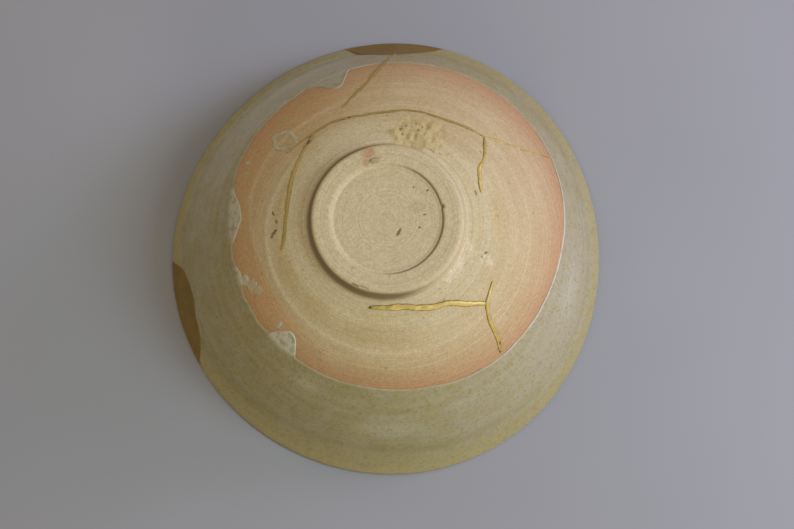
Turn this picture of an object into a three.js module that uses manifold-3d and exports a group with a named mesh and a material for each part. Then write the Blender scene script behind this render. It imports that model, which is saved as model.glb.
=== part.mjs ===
import * as THREE from "three";
import { mergeVertices } from "three/addons/utils/BufferGeometryUtils.js";
import Module from "manifold-3d";

// A stoneware tea bowl mended with gold lacquer. It lies mouth down on its rim, so its foot is on top.
// Millimetres, +Z up. The origin is on the axis of the foot, at the level of the rim.

// ---- driving dimensions ----

const HEIGHT = 56;
const RIM_RADIUS = 75;
const LIP_ROUNDING = 1;
const LIP_LAND = 1.6; // flat width of the rim that the bowl lies on

const FOOT_RADIUS = 23.4; // outer edge of the foot's flat face
const FOOT_BEVEL = 0.8;
const FOOT_ROOT_RADIUS = 25.6; // where the foot grows out of the wall
const FOOT_HEIGHT = 4.4;
const RECESS_RADIUS = 17.9;
const RECESS_DEPTH = 0.8;
const RECESS_SLOPE = 0.7;

const FLOOR_THICKNESS = 6.8; // under the middle of the recess
const WALL_AT_FOOT = 5.6;
const WALL_AT_LIP = 3.1;

const GAP = 0.3; // clearance between pieces that touch

const TURN_SEGMENTS = 72;
const WALL_STEPS = 10;
const LIP_STEPS = 3;
const BEAD_SIDES = 6;
const BEAD_STEP = 5; // length of one facet along a seam

// Outside of the wall as [radius, height], from the foot over the full belly to the waist and the lip.
const WALL_OUTSIDE = [
  [FOOT_ROOT_RADIUS, HEIGHT - FOOT_HEIGHT],
  [35, 48.2],
  [44, 42.5],
  [52, 35.1],
  [60, 25.2],
  [66, 15.1],
  [69.6, 8],
  [72.4, 4],
  [RIM_RADIUS, LIP_ROUNDING],
];
const INSIDE_END = 0.955; // share of the wall's length that the inside follows before the lip's rounding

// The rim has warped in the kiln: its radius swings in two and three waves around the circle.
const WARP = { cos2: -1.14, sin2: 0.36, cos3: -0.72, sin3: -0.22 };

// Chips in the rim, rebuilt in lacquer: the middle's direction in degrees, and the broken edge as
// [degrees from the middle, height above the rim].
const LEFT_CHIP = {
  middle: -164,
  edge: [
    [-14.5, -2], [-13, 2.6], [-8.5, 8], [-4, 10.7], [0, 11.4], [3.5, 9.4], [8, 7.3], [13.5, 2.6], [16, -2],
  ],
};
const BACK_CHIP = {
  middle: 89,
  edge: [
    [-15.5, -2], [-12, 3.7], [-8, 8.9], [-4, 14.4], [0.5, 16], [5, 14], [8.5, 8.4], [11, 3.9], [14.5, -2],
  ],
};
const CHIP_RADIUS = 70; // where the chips' angles are measured
const CHIP_REACH = [58, 84]; // the cutting block, from inside the wall to outside the rim
const CHIP_STEPS = 20;

// Cracks, each branch as [radius, degrees] along the outside of the wall. No branch closes a loop, so the
// bowl is still one piece.
const ARC_MAIN = [
  [41.9, 145], [39.8, 133.5], [39.3, 122.5], [38.6, 107], [38.1, 98.5], [38.9, 80], [40.4, 57.5],
  [43.4, 44.5], [46.2, 39.5], [50.9, 34.5], [56.5, 31.5], [62.7, 29],
];
const ARC_LEFT_BRANCH = [[39.6, 130], [36.5, 143], [33.4, 162.5], [32.3, 183], [33.8, 193.5]];
const ARC_RIGHT_BRANCH = [[43.4, 44.5], [38, 36], [35.1, 33], [33, 26.5], [32, 19]];
const RIM_CRACK = [[64.3, 89.5], [58.4, 92], [52.8, 95], [48.9, 100], [42.1, 111]];
const LOWER_MAIN = [
  [27.8, -102], [26.5, -94.8], [26.4, -84.5], [28, -71.8], [30.5, -57], [35.9, -44.5], [40.6, -38],
];
const LOWER_FORK = [[38.2, -28.5], [40.6, -38], [47.3, -43], [53, -46]];

// Half widths of the raised gold lines that fill the cracks.
const ARC_BEAD = 0.6;
const RIM_CRACK_BEAD = 0.7;
const LOWER_BEAD = 0.85;
const BEAD_SUNK = 0.45; // share of a line's half width by which its middle lies below the clay

// ---- materials ----

const clay = new THREE.MeshStandardMaterial({ color: 0xc9ab86, roughness: 0.75, metalness: 0 });
const fillGold = new THREE.MeshStandardMaterial({ color: 0x84682a, roughness: 0.55, metalness: 0.8 });
const seamGold = new THREE.MeshStandardMaterial({ color: 0xa6813a, roughness: 0.45, metalness: 0.9 });

// ---- solids ----

const wasm = await Module();
wasm.setup();

// A closed three.js geometry as a solid that can be joined and cut.
function toSolid(geometry) {
  const bare = geometry.clone();
  bare.deleteAttribute("normal");
  bare.deleteAttribute("uv");
  const merged = mergeVertices(bare, 1e-4);
  const corners = merged.index.array;
  const faces = [];
  for (let i = 0; i < corners.length; i += 3) {
    const [a, b, c] = [corners[i], corners[i + 1], corners[i + 2]];
    if (a !== b && b !== c && c !== a) {
      faces.push(a, b, c);
    }
  }
  const mesh = new wasm.Mesh({
    numProp: 3,
    vertProperties: new Float32Array(merged.attributes.position.array),
    triVerts: new Uint32Array(faces),
  });
  return new wasm.Manifold(mesh);
}

function toGeometry(solid) {
  const mesh = solid.getMesh();
  const geometry = new THREE.BufferGeometry();
  geometry.setAttribute("position", new THREE.BufferAttribute(mesh.vertProperties, mesh.numProp));
  geometry.setIndex(new THREE.BufferAttribute(mesh.triVerts, 1));
  geometry.computeVertexNormals();
  return geometry;
}

// ---- the bowl's shape ----

const wallCurve = new THREE.SplineCurve(WALL_OUTSIDE.map(([r, z]) => new THREE.Vector2(r, z)));

// Points along a quarter circle around (r, z), from one angle to another in degrees.
function rounding(r, z, from, to) {
  const points = [];
  for (let i = 0; i <= LIP_STEPS; i += 1) {
    const angle = THREE.MathUtils.degToRad(THREE.MathUtils.lerp(from, to, i / LIP_STEPS));
    points.push(new THREE.Vector2(r + LIP_ROUNDING * Math.cos(angle), z + LIP_ROUNDING * Math.sin(angle)));
  }
  return points;
}

// The inside is the outside moved in by the wall's thickness, which shrinks from the foot to the lip.
function insidePoints() {
  const points = [];
  for (let i = 0; i <= WALL_STEPS; i += 1) {
    const share = (INSIDE_END * i) / WALL_STEPS;
    const along = wallCurve.getTangentAt(share);
    const inwards = new THREE.Vector2(along.y, -along.x);
    const thickness = THREE.MathUtils.lerp(WALL_AT_FOOT, WALL_AT_LIP, share);
    points.push(wallCurve.getPointAt(share).addScaledVector(inwards, thickness));
  }
  return points;
}

const outside = wallCurve.getSpacedPoints(WALL_STEPS);
const inside = insidePoints();

// Half section of the whole bowl: recess, foot, wall, lip and back up the inside to the middle of the floor.
function bowlSection() {
  const footRim = HEIGHT - FOOT_BEVEL;
  const recess = HEIGHT - RECESS_DEPTH;
  const floor = recess - FLOOR_THICKNESS;
  const lipInner = RIM_RADIUS - 2 * LIP_ROUNDING - LIP_LAND;
  return [
    new THREE.Vector2(0, recess),
    new THREE.Vector2(RECESS_RADIUS - RECESS_SLOPE, recess),
    new THREE.Vector2(RECESS_RADIUS, HEIGHT),
    new THREE.Vector2(FOOT_RADIUS, HEIGHT),
    new THREE.Vector2(FOOT_RADIUS + FOOT_BEVEL, footRim),
    ...outside.slice(0, -1),
    ...rounding(RIM_RADIUS - LIP_ROUNDING, LIP_ROUNDING, 0, -90),
    ...rounding(lipInner + LIP_ROUNDING, LIP_ROUNDING, -90, -180),
    ...inside.slice().reverse(),
    new THREE.Vector2(inside[0].x / 2, THREE.MathUtils.lerp(inside[0].y, floor, 0.8)),
    new THREE.Vector2(0, floor),
  ];
}

// How far the warp moves a point out at a given radius and angle; the foot stays true.
function warp(radius, angle) {
  const share = THREE.MathUtils.smoothstep(radius, FOOT_ROOT_RADIUS, RIM_RADIUS);
  const twoWaves = WARP.cos2 * Math.cos(2 * angle) + WARP.sin2 * Math.sin(2 * angle);
  const threeWaves = WARP.cos3 * Math.cos(3 * angle) + WARP.sin3 * Math.sin(3 * angle);
  return share * (twoWaves + threeWaves);
}

function uncutBowl() {
  const geometry = new THREE.LatheGeometry(bowlSection().reverse(), TURN_SEGMENTS);
  geometry.rotateX(Math.PI / 2);
  const position = geometry.attributes.position;
  for (let i = 0; i < position.count; i += 1) {
    const radius = Math.hypot(position.getX(i), position.getY(i));
    const angle = Math.atan2(position.getY(i), position.getX(i));
    const warped = radius + warp(radius, angle);
    position.setXY(i, warped * Math.cos(angle), warped * Math.sin(angle));
  }
  return toSolid(geometry);
}

// ---- chips in the rim ----

// Points along a flat curve, moved to its left by a distance.
function movedSideways(curve, steps, distance) {
  const points = [];
  for (let i = 0; i <= steps; i += 1) {
    const along = curve.getTangent(i / steps);
    const left = new THREE.Vector2(-along.y, along.x);
    points.push(curve.getPoint(i / steps).addScaledVector(left, distance));
  }
  return points;
}

// A block that takes in the chip, looking at the rim from outside and reaching through the wall.
function chipBlock(chip, growth) {
  const edge = chip.edge.map(([degrees, height]) => {
    return new THREE.Vector2(CHIP_RADIUS * Math.sin(THREE.MathUtils.degToRad(degrees)), height);
  });
  const [near, far] = CHIP_REACH;
  const shape = new THREE.Shape(movedSideways(new THREE.SplineCurve(edge), CHIP_STEPS, growth));
  const geometry = new THREE.ExtrudeGeometry(shape, { depth: far - near, bevelEnabled: false });
  geometry.translate(0, 0, near);
  const middle = THREE.MathUtils.degToRad(chip.middle);
  const outwards = new THREE.Vector3(Math.cos(middle), Math.sin(middle), 0);
  const around = new THREE.Vector3(-Math.sin(middle), Math.cos(middle), 0);
  const up = new THREE.Vector3(0, 0, 1);
  geometry.applyMatrix4(new THREE.Matrix4().makeBasis(around, up, outwards));
  return toSolid(geometry);
}

// ---- cracks and their lacquer ----

// Height of the outside of the wall at a radius.
function wallHeight(radius) {
  const next = Math.max(1, outside.findIndex((point) => point.x >= radius));
  const [a, b] = [outside[next - 1], outside[next]];
  return THREE.MathUtils.mapLinear(radius, a.x, b.x, a.y, b.y);
}

// A crack's point in the wall, a little below its surface.
function inWall([radius, degrees], depth) {
  const angle = THREE.MathUtils.degToRad(degrees);
  const warped = radius + warp(radius, angle);
  return new THREE.Vector3(warped * Math.cos(angle), warped * Math.sin(angle), wallHeight(radius) - depth);
}

// The same points with both ends pushed out along the line.
function lengthened(points, by) {
  const longer = points.map((point) => point.clone());
  const last = points.length - 1;
  longer[0].add(points[0].clone().sub(points[1]).setLength(by));
  longer[last].add(points[last].clone().sub(points[last - 1]).setLength(by));
  return longer;
}

// One raised line of lacquer. Growth makes it thicker and longer, which is the groove that it lies in.
function bead(crack, halfWidth, growth) {
  const middle = crack.map((point) => inWall(point, BEAD_SUNK * halfWidth));
  const path = new THREE.CatmullRomCurve3(lengthened(middle, growth));
  const section = new THREE.Shape().absarc(0, 0, halfWidth + growth, 0, 2 * Math.PI);
  const options = {
    steps: Math.ceil(path.getLength() / BEAD_STEP),
    curveSegments: BEAD_SIDES / 2,
    extrudePath: path,
  };
  return toSolid(new THREE.ExtrudeGeometry(section, options));
}

function seam({ cracks, halfWidth }, growth) {
  return cracks.map((crack) => bead(crack, halfWidth, growth)).reduce((joined, next) => joined.add(next));
}

// ---- pieces ----

const chips = [
  { name: "rim_fill_left", ...LEFT_CHIP },
  { name: "rim_fill_back", ...BACK_CHIP },
];
const seams = [
  { name: "seam_arc", cracks: [ARC_MAIN, ARC_LEFT_BRANCH, ARC_RIGHT_BRANCH], halfWidth: ARC_BEAD },
  { name: "seam_rim", cracks: [RIM_CRACK], halfWidth: RIM_CRACK_BEAD },
  { name: "seam_lower", cracks: [LOWER_MAIN, LOWER_FORK], halfWidth: LOWER_BEAD },
];

const bowl = uncutBowl();
const chipped = chips.reduce((body, chip) => body.subtract(chipBlock(chip, GAP)), bowl);
const body = seams.reduce((cut, line) => cut.subtract(seam(line, GAP)), chipped);

function piece(name, solid, material) {
  const mesh = new THREE.Mesh(toGeometry(solid), material);
  mesh.name = name;
  return mesh;
}

const teaBowl = new THREE.Group();
teaBowl.add(piece("bowl_body", body, clay));
chips.forEach((chip) => {
  teaBowl.add(piece(chip.name, bowl.intersect(chipBlock(chip, 0)), fillGold));
});
seams.forEach((line) => {
  teaBowl.add(piece(line.name, seam(line, 0), seamGold));
});

export default teaBowl;
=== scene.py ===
"""A stoneware tea bowl mended with gold lacquer, lying mouth down on its rim.

The bare clay, the glaze, the rim fills and the gold lines are surfaces worked out on grids from one half
section, which is turned about the axis of the foot and warped as the kiln warped it.
Sizes are in millimetres until a mesh is made.
"""

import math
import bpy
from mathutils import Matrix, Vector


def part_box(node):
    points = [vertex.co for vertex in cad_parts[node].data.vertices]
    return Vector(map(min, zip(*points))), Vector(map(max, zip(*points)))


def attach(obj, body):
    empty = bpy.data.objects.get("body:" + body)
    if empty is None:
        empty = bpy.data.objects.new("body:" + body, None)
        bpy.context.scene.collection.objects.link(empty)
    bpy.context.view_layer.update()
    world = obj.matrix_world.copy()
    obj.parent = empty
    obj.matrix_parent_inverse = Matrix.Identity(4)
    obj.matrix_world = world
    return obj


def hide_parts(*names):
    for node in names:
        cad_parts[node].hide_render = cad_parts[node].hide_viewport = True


bl_info = {
    "name": "Mended Tea Bowl",
    "version": (1, 0, 0),
    "blender": (4, 5, 0),
    "location": "3D View > Sidebar > Tea Bowl",
    "description": "Builds a stoneware tea bowl mended with gold lacquer",
    "category": "Object",
}

import bpy
import numpy as np
from mathutils import Vector

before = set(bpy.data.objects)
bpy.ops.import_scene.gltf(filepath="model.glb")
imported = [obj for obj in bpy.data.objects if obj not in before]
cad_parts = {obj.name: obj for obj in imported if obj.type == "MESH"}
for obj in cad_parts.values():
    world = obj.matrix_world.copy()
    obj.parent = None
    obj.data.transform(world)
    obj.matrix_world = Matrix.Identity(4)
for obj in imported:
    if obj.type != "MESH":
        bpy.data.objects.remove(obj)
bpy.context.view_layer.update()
BODY_LOW, BODY_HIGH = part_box("bowl_body")

MM = 0.001

# ---- driving dimensions, in millimetres ----

HEIGHT = round((BODY_HIGH.z - BODY_LOW.z) / MM, 2)
RIM_RADIUS = 75
LIP_ROUNDING = 1
LIP_LAND = 1.6
FOOT_RADIUS = 23.4
FOOT_BEVEL = 0.8
FOOT_ROOT_RADIUS = 25.6
FOOT_HEIGHT = 4.4
RECESS_RADIUS = 17.9
RECESS_DEPTH = 0.8
RECESS_SLOPE = 0.7
FLOOR_THICKNESS = 6.8
WALL_AT_FOOT = 5.6
WALL_AT_LIP = 3.1
INSIDE_END = 0.955

WALL_OUTSIDE = [
    (FOOT_ROOT_RADIUS, HEIGHT - FOOT_HEIGHT),
    (35, 48.2),
    (44, 42.5),
    (52, 35.1),
    (60, 25.2),
    (66, 15.1),
    (69.6, 8),
    (72.4, 4),
    (RIM_RADIUS, LIP_ROUNDING),
]

# Waves in the rim's radius: how often around, and the cosine and sine parts.
WARP_WAVES = [(2, -1.14, 0.36), (3, -0.72, -0.22)]

# Where the glaze ends on the outside, as (degrees, radius).
GLAZE_LINE = [
    (-180, 51), (-160, 50.5), (-95, 50.6), (-75, 51.5), (-50, 54), (-35, 55), (-20, 56.6), (-5, 58.5),
    (5, 60.4), (17, 62), (30, 63), (42, 62.8), (55, 62.3), (68, 61.2), (80, 60.4), (100, 59.3),
    (117, 58.4), (130, 57.2), (145, 56), (160, 54), (170, 52.4),
]

# Runs of glaze below that line, as (degrees, how far it has run), and how white they dried.
GLAZE_RUNS = [
    {
        "edge": [
            (102.6, 0), (104.6, 3.6), (106.6, 6.8), (109, 7.5), (111.6, 6.0), (114.2, 2.8), (118.5, 0),
        ],
        "white": 0.3,
    },
    {"edge": [(160.5, 0), (165, 1.1), (169.5, 3.3), (174.5, 4.2), (179.5, 2.7), (185.5, 0)], "white": 0.75},
    {"edge": [(-168, 0), (-165.5, 0.9), (-161.5, 1.1), (-157, 0)], "white": 0.8},
    {"edge": [(-139, 0), (-136.2, 2.6), (-132.5, 5.0), (-129, 4.4), (-125.6, 0)], "white": 1.0},
]

# Splashes of glaze on the bare clay: middle, half sizes outwards and sideways, height, how far the
# middle has sunk, how white, how glossy.
SPLASHES = [
    {"at": (44.9, 139.0), "half": (4.7, 3.9), "height": 0.16, "sunk": 1.0, "white": 0.75, "gloss": 0.1},
    {"at": (48.6, -160.4), "half": (1.3, 1.7), "height": 0.2, "sunk": 0, "white": 0.8, "gloss": 0},
    {"at": (47.2, -157.4), "half": (1.7, 1.8), "height": 0.2, "sunk": 0.3, "white": 0.6, "gloss": 0},
    {"at": (45.9, -154.2), "half": (1.4, 1.5), "height": 0.16, "sunk": 0.3, "white": 0.5, "gloss": 0},
    {"at": (46.6, -137.8), "half": (1.3, 0.8), "height": 0.16, "sunk": 0, "white": 0.7, "gloss": 0},
    {"at": (50.6, 157.0), "half": (0.7, 0.7), "height": 0.16, "sunk": 0, "white": 0.5, "gloss": 0.2},
    {"at": (52.2, 152.8), "half": (0.9, 0.8), "height": 0.18, "sunk": 0, "white": 0.6, "gloss": 0.2},
    {"at": (19.2, 100.5), "half": (1.0, 2.3), "height": 0.75, "sunk": 0, "white": 0.1, "gloss": 1.0},
]

# Turned ridges in the bare clay, as (degrees, radius).
INNER_RIDGE = [
    (0, 42.5), (90, 36), (130, 36), (157, 37), (180, 39), (203, 39.4), (225, 40.1), (248, 40.8),
    (270, 41), (293, 41.4), (330, 42.3),
]
OUTER_RIDGE = [
    (0, 46), (90, 47), (115, 45), (130, 45.4), (145, 46.6), (165, 46.6), (180, 44.5), (200, 42.2),
    (250, 43),
]

# How clearly each ridge shows, as (degrees, share).
INNER_RIDGE_SEEN = [
    (60, 0), (120, 0), (157, 0.45), (180, 0.8), (230, 0.75), (265, 0.8), (300, 0.4), (335, 0.1),
]
OUTER_RIDGE_SEEN = [(60, 0), (95, 0), (115, 0.45), (150, 0.4), (180, 0.35), (200, 0), (330, 0)]

# Salmon flush along the glaze, as (degrees, breadth) and (degrees, share).
FLUSH_BREADTH = [(0, 7), (40, 8), (80, 6), (115, 4), (160, 3.2), (215, 2.8), (250, 4), (300, 5.5)]
FLUSH_STRENGTH = [
    (0, 0.9), (45, 1), (80, 0.85), (120, 0.75), (160, 0.5), (200, 0.55), (235, 0.8), (270, 1), (315, 0.95),
]

# Tone of the glaze round the bowl, as (degrees, share).
CRAWLED_EDGE = [
    (0, 0.85), (17, 0.6), (40, 0.12), (90, 0.12), (160, 0.2), (230, 0.2), (300, 0.25), (325, 0.75),
]
ASHEN_SIDE = [
    (0, 0.25), (45, 0.1), (85, 0.2), (112, 1.1), (140, 1), (165, 0.55), (190, 0.2), (220, 0.05),
    (300, 0.25),
]
BEIGE_SIDE = [
    (0, 0.6), (40, 0.2), (80, 0), (150, 0), (250, 0), (290, 0.1), (318, 0.7), (340, 0.95),
]

# Milky clouds in the glaze: degrees, radius, breadth in degrees, breadth outwards.
GLAZE_CLOUDS = [(-119, 55.4, 7, 2.6), (-14, 64, 10, 2.4), (118, 66, 14, 2.6), (-90, 62, 10, 2)]

# Waist under the lip, as (degrees, radius).
WAIST_LINE = [
    (0, 71.2), (60, 70.5), (130, 70.8), (175, 71), (208, 71), (218, 70.3), (232, 69.3), (249, 68),
    (273.5, 67.8), (285.5, 69.4), (305, 69.3), (323.5, 70.6),
]

LEFT_CHIP = {
    "piece": "rim_gold_left",
    "node": "rim_fill_left",
    "middle": -164,
    "edge": [
        (-14.5, -2), (-13, 2.6), (-8.5, 8), (-4, 10.7), (0, 11.4), (3.5, 9.4), (8, 7.3), (13.5, 2.6),
        (16, -2),
    ],
}
BACK_CHIP = {
    "piece": "rim_gold_back",
    "node": "rim_fill_back",
    "middle": 89,
    "edge": [
        (-15.5, -2), (-12, 3.7), (-8, 8.9), (-4, 14.4), (0.5, 16), (5, 14), (8.5, 8.4), (11, 3.9),
        (14.5, -2),
    ],
}
CHIPS = [LEFT_CHIP, BACK_CHIP]
CHIP_RADIUS = 72.5

# Cracks as (radius, degrees).
ARC_MAIN = [
    (40.6, 143.5), (39.2, 131), (38.5, 118), (37.6, 108), (36.9, 101), (37, 94.5), (37.8, 85), (38.8, 75),
    (39.9, 60), (42, 50), (43.6, 43.5), (45.2, 41.2), (48.6, 36.6), (53, 32.6), (57.5, 30), (62, 28),
]
ARC_LEFT_BRANCH = [
    (38.7, 128.5), (37.2, 133.5), (36, 140), (34.5, 150), (33.1, 160), (32.4, 168), (32.3, 180), (33, 188),
    (34.8, 195),
]
ARC_RIGHT_BRANCH = [(43.4, 43.8), (39.6, 37.6), (37, 34), (34.5, 31), (32.6, 24.5), (31.6, 18)]
RIM_CRACK = [(66.6, 87.6), (63, 89.5), (60, 91), (57, 93), (54, 95), (50, 98), (46, 103.5), (42, 110.7)]
LOWER_MAIN = [
    (28, -102), (27.7, -95), (27.5, -86), (27.9, -78), (29, -71), (30.1, -65), (31, -60), (32, -54),
    (33.8, -49.5), (36.3, -45), (40.3, -38.8),
]
LOWER_FORK = [(38.2, -28.3), (39.3, -34), (40.4, -38), (42.5, -41), (46, -43.5), (50, -45), (53.4, -47)]

# Gold along each crack: half widths from end to end, height, and how bright the gold has stayed.
SEAMS = [
    {
        "piece": "gold_arc",
        "node": "seam_arc",
        "lines": [
            {
                "route": ARC_MAIN,
                "half_width": [0.22, 0.4, 0.45, 0.38, 0.4, 0.42, 0.4, 0.45, 0.5, 0.36, 0.34, 0.3, 0.2],
                "height": 0.2,
                "bright": [0.1, 0, 0, 0.1, 0.1, 0, 0, 0.1, 0.2, 0.5, 0.6, 0.7, 0.5],
            },
            {
                "route": ARC_LEFT_BRANCH,
                "half_width": [0.5, 0.62, 0.55, 0.6, 0.62, 0.58, 0.55, 0.5, 0.4],
                "height": 0.3,
                "bright": [0, 0.05, 0.2, 0.2, 0.25, 0.2, 0.2, 0.1, 0.3],
            },
            {
                "route": ARC_RIGHT_BRANCH,
                "half_width": [0.45, 0.45, 0.4, 0.62, 0.6, 0.3],
                "height": 0.3,
                "bright": [0.2, 0.3, 0.5, 0.8, 0.8, 0.5],
            },
        ],
    },
    {
        "piece": "gold_rim",
        "node": "seam_rim",
        "lines": [
            {
                "route": RIM_CRACK,
                "half_width": [0.3, 0.5, 0.62, 0.55, 0.5, 0.6, 0.6, 0.3],
                "height": 0.26,
                "bright": [0.2, 0.1, 0.15, 0.25, 0.2, 0.1, 0.2, 0.2],
            }
        ],
    },
    {
        "piece": "gold_lower",
        "node": "seam_lower",
        "lines": [
            {
                "route": LOWER_MAIN,
                "half_width": [0.45, 0.75, 0.85, 0.8, 0.9, 0.75, 0.8, 0.85, 0.75, 0.7],
                "height": 0.5,
                "bright": [0.2, 0.9, 1.0, 1.0, 1.0, 0.9, 1.0, 0.9, 0.9, 0.8],
            },
            {
                "route": LOWER_FORK,
                "half_width": [0.35, 0.6, 0.7, 0.62, 0.7, 0.62, 0.5],
                "height": 0.42,
                "bright": [0.5, 0.7, 0.7, 0.6, 0.7, 0.6, 0.3],
            },
        ],
    },
]

# Bare lacquer where the gold is gone: x, y, half length, half width, degrees.
LACQUER_SPOTS = [
    (-5.8, -27.6, 0.9, 0.55, 10), (36.5, -36.3, 0.8, 0.45, 60), (36.4, -39.2, 0.5, 0.4, 0),
    (-14.6, 34.6, 1.0, 0.35, 20), (-17.6, 33.6, 0.7, 0.35, 25), (-12.4, 35.6, 0.6, 0.3, 15),
    (-25.4, 27.2, 0.9, 0.5, 60), (30.5, 30.3, 0.6, 0.3, -45),
]

TURN_COLUMNS = 600
GLAZE_COLUMNS = 680

# How far under the bowl's skin the hidden clay and the undersides of the glaze and the fills lie.
CLAY_UNDER_GLAZE = 0.45
GLAZE_UNDERSIDE = 0.6
FILL_UNDERSIDE = 0.5

CAMERA_LENS = 76.26
CAMERA_SENSOR = 36
CAMERA_TARGET = (0.003126, -0.009126, 0.028)
FLOOR_HALF_WIDTH = 2.0


# ---- settings that a user would change ----


def length_setting(name, description, default):
    return bpy.props.FloatProperty(
        name=name, description=description, default=default, min=0, unit="LENGTH"
    )


def share_setting(name, description, default):
    return bpy.props.FloatProperty(name=name, description=description, default=default, subtype="FACTOR")


def colour_setting(name, description, default):
    return bpy.props.FloatVectorProperty(
        name=name, description=description, default=default, size=3, min=0, max=1, subtype="COLOR"
    )


class BowlClaySettings(bpy.types.PropertyGroup):
    """Relief and colours of the bare clay."""

    ridge_height: length_setting("Ridge height", "How far the turned ridges stand out", 0.00016)
    grain: length_setting("Grain", "Depth of the sandy grain", 0.00006)
    cream: colour_setting("Cream", "Clean clay round the foot", (0.64, 0.53, 0.30))
    tan: colour_setting("Tan", "Warmer clay further down", (0.565, 0.43, 0.22))
    blush: colour_setting("Blush", "Salmon flush along the glaze", (0.50, 0.275, 0.13))
    rust: colour_setting("Rust", "Orange flush of the shaded side", (0.60, 0.385, 0.18))
    yellow: colour_setting("Yellow", "Ash yellow on the turned lines", (0.56, 0.42, 0.15))
    # Also the colour of the painted highlight along the crest at the foot's root.
    pale: colour_setting("Pale", "Rubbed edges and ridges", (0.75, 0.62, 0.40))
    # Also the colour of the painted shade on the foot wall and in the recess.
    dirt_and_shade: colour_setting("Dirt", "Pits, cracks and specks", (0.16, 0.115, 0.05))


class BowlGlazeSettings(bpy.types.PropertyGroup):
    """Thickness and colours of the glaze."""

    thickness: length_setting("Thickness", "How far the glaze stands on the clay", 0.00022)
    olive: colour_setting("Olive", "Green glaze of the near side", (0.375, 0.32, 0.15))
    ash: colour_setting("Ash", "Bluish grey glaze of the far side", (0.46, 0.43, 0.33))
    beige: colour_setting("Beige", "Pale glaze of the lit side", (0.455, 0.40, 0.26))
    lip: colour_setting("Lip", "Yellow olive of the lip", (0.385, 0.33, 0.155))
    white: colour_setting("White", "Crawled edge and thick runs", (0.62, 0.59, 0.45))
    # Also the colour of the painted shade in the waist groove.
    speck: colour_setting("Speck", "Green brown specks", (0.25, 0.22, 0.075))


class BowlGoldSettings(bpy.types.PropertyGroup):
    """Gold of the fills and the lines."""

    proud: length_setting("Proud", "How far a rim fill stands over the glaze", 0.00012)
    fill: colour_setting("Fill", "Worn brown gold of the rim fills", (0.26, 0.165, 0.035))
    line: colour_setting("Line", "Bright gold of the lines", (0.70, 0.53, 0.15))
    worn: colour_setting("Worn", "Olive gold where the lines are worn", (0.40, 0.285, 0.075))
    lacquer: colour_setting("Lacquer", "Dark lacquer beside the gold", (0.17, 0.105, 0.03))


class BowlStageSettings(bpy.types.PropertyGroup):
    """Floor, lights and camera."""

    floor: colour_setting("Floor", "Pale floor", (0.345, 0.35, 0.37))
    sky: colour_setting("Sky", "Light from all round", (0.36, 0.32, 0.26))
    sky_strength: share_setting("Sky strength", "Strength of the light from all round", 1.0)
    light_share: share_setting("Light share", "All the lamps together, as a share of their set power", 1.0)
    camera_distance: length_setting("Camera distance", "From the camera to the bowl", 0.5535)
    camera_elevation: bpy.props.FloatProperty(
        name="Camera elevation",
        description="Angle of the camera above the horizon",
        default=math.radians(78.646),
        subtype="ANGLE",
    )


# ---- small tools for shapes ----


def smooth(share):
    """Smoothstep: three t squared less two t cubed, for a share held between 0 and 1."""
    held = np.clip(share, 0, 1)
    return held * held * (3 - 2 * held)


def between(value, low, high):
    """Rises smoothly from 0 at low to 1 at high; high may be the smaller one."""
    return smooth((value - low) / (high - low))


def hump(value, middle, width):
    """Bell curve: e to the power of minus the squared distance from the middle in widths."""
    return np.exp(-(((value - middle) / width) ** 2))


def turn_gap(angle, degrees):
    """Signed degrees from a direction, between -180 and 180."""
    return (np.degrees(angle) - degrees + 180) % 360 - 180


def curve_through(points, steps):
    """Catmull-Rom curve: a cubic between neighbours whose end slopes are half the chord past each point."""
    p = np.asarray(points, float)
    ends = np.concatenate([p[:1], p, p[-1:]])
    slope = (ends[2:] - ends[:-2]) / 2
    t = (np.arange(steps) / steps)[None, :, None]
    a, b = p[:-1, None], p[1:, None]
    u, v = slope[:-1, None], slope[1:, None]
    cubic = (2 * a - 2 * b + u + v) * t**3 + (3 * b - 3 * a - 2 * u - v) * t**2 + u * t + a
    return np.concatenate([cubic.reshape(-1, p.shape[1]), p[-1:]])


def lengths_along(points):
    """Distance along a line of points, starting at 0."""
    steps = np.linalg.norm(np.diff(points, axis=0), axis=1)
    return np.concatenate([[0], np.cumsum(steps)])


def evenly(points, step):
    """The same line with its points a step apart."""
    along = lengths_along(points)
    wanted = np.linspace(0, along[-1], max(2, int(round(along[-1] / step)) + 1))
    return np.stack([np.interp(wanted, along, axis) for axis in np.transpose(points)], -1)


def blurred(values, sigma):
    """Running mean with bell-shaped weights; sigma is in samples, and the ends run on straight."""
    reach = int(3 * sigma) + 1
    weights = np.exp(-0.5 * (np.arange(-reach, reach + 1) / sigma) ** 2)
    before = 2 * values[0] - values[reach:0:-1]
    after = 2 * values[-1] - values[-2 : -reach - 2 : -1]
    return np.convolve(np.concatenate([before, values, after]), weights / weights.sum(), "valid")


def round_the_bowl(angle, pairs, blur=3.0):
    """Value at a direction: straight lines between (degrees, value) pairs all round, then softened."""
    degrees, values = np.transpose(sorted((d % 360, v) for d, v in pairs))
    fine = np.arange(-180, 540, 0.5)
    table = blurred(np.interp(fine, degrees, values, period=360), blur * 2)
    return np.interp(np.degrees(angle) % 360, fine, table)


def hills(x, y, size, seed):
    """Random hills from -1 to 1 about a size across: a lattice of random heights joined by smoothstep."""
    heights = np.random.default_rng(seed).uniform(-1, 1, (97, 97))
    u, v = np.asarray(x) / size + 311.3, np.asarray(y) / size + 173.7
    i, j = np.floor(u).astype(int), np.floor(v).astype(int)
    a, b = smooth(u - i), smooth(v - j)
    near = heights[i % 97, j % 97] * (1 - a) + heights[(i + 1) % 97, j % 97] * a
    far = heights[i % 97, (j + 1) % 97] * (1 - a) + heights[(i + 1) % 97, (j + 1) % 97] * a
    return near * (1 - b) + far * b


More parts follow.
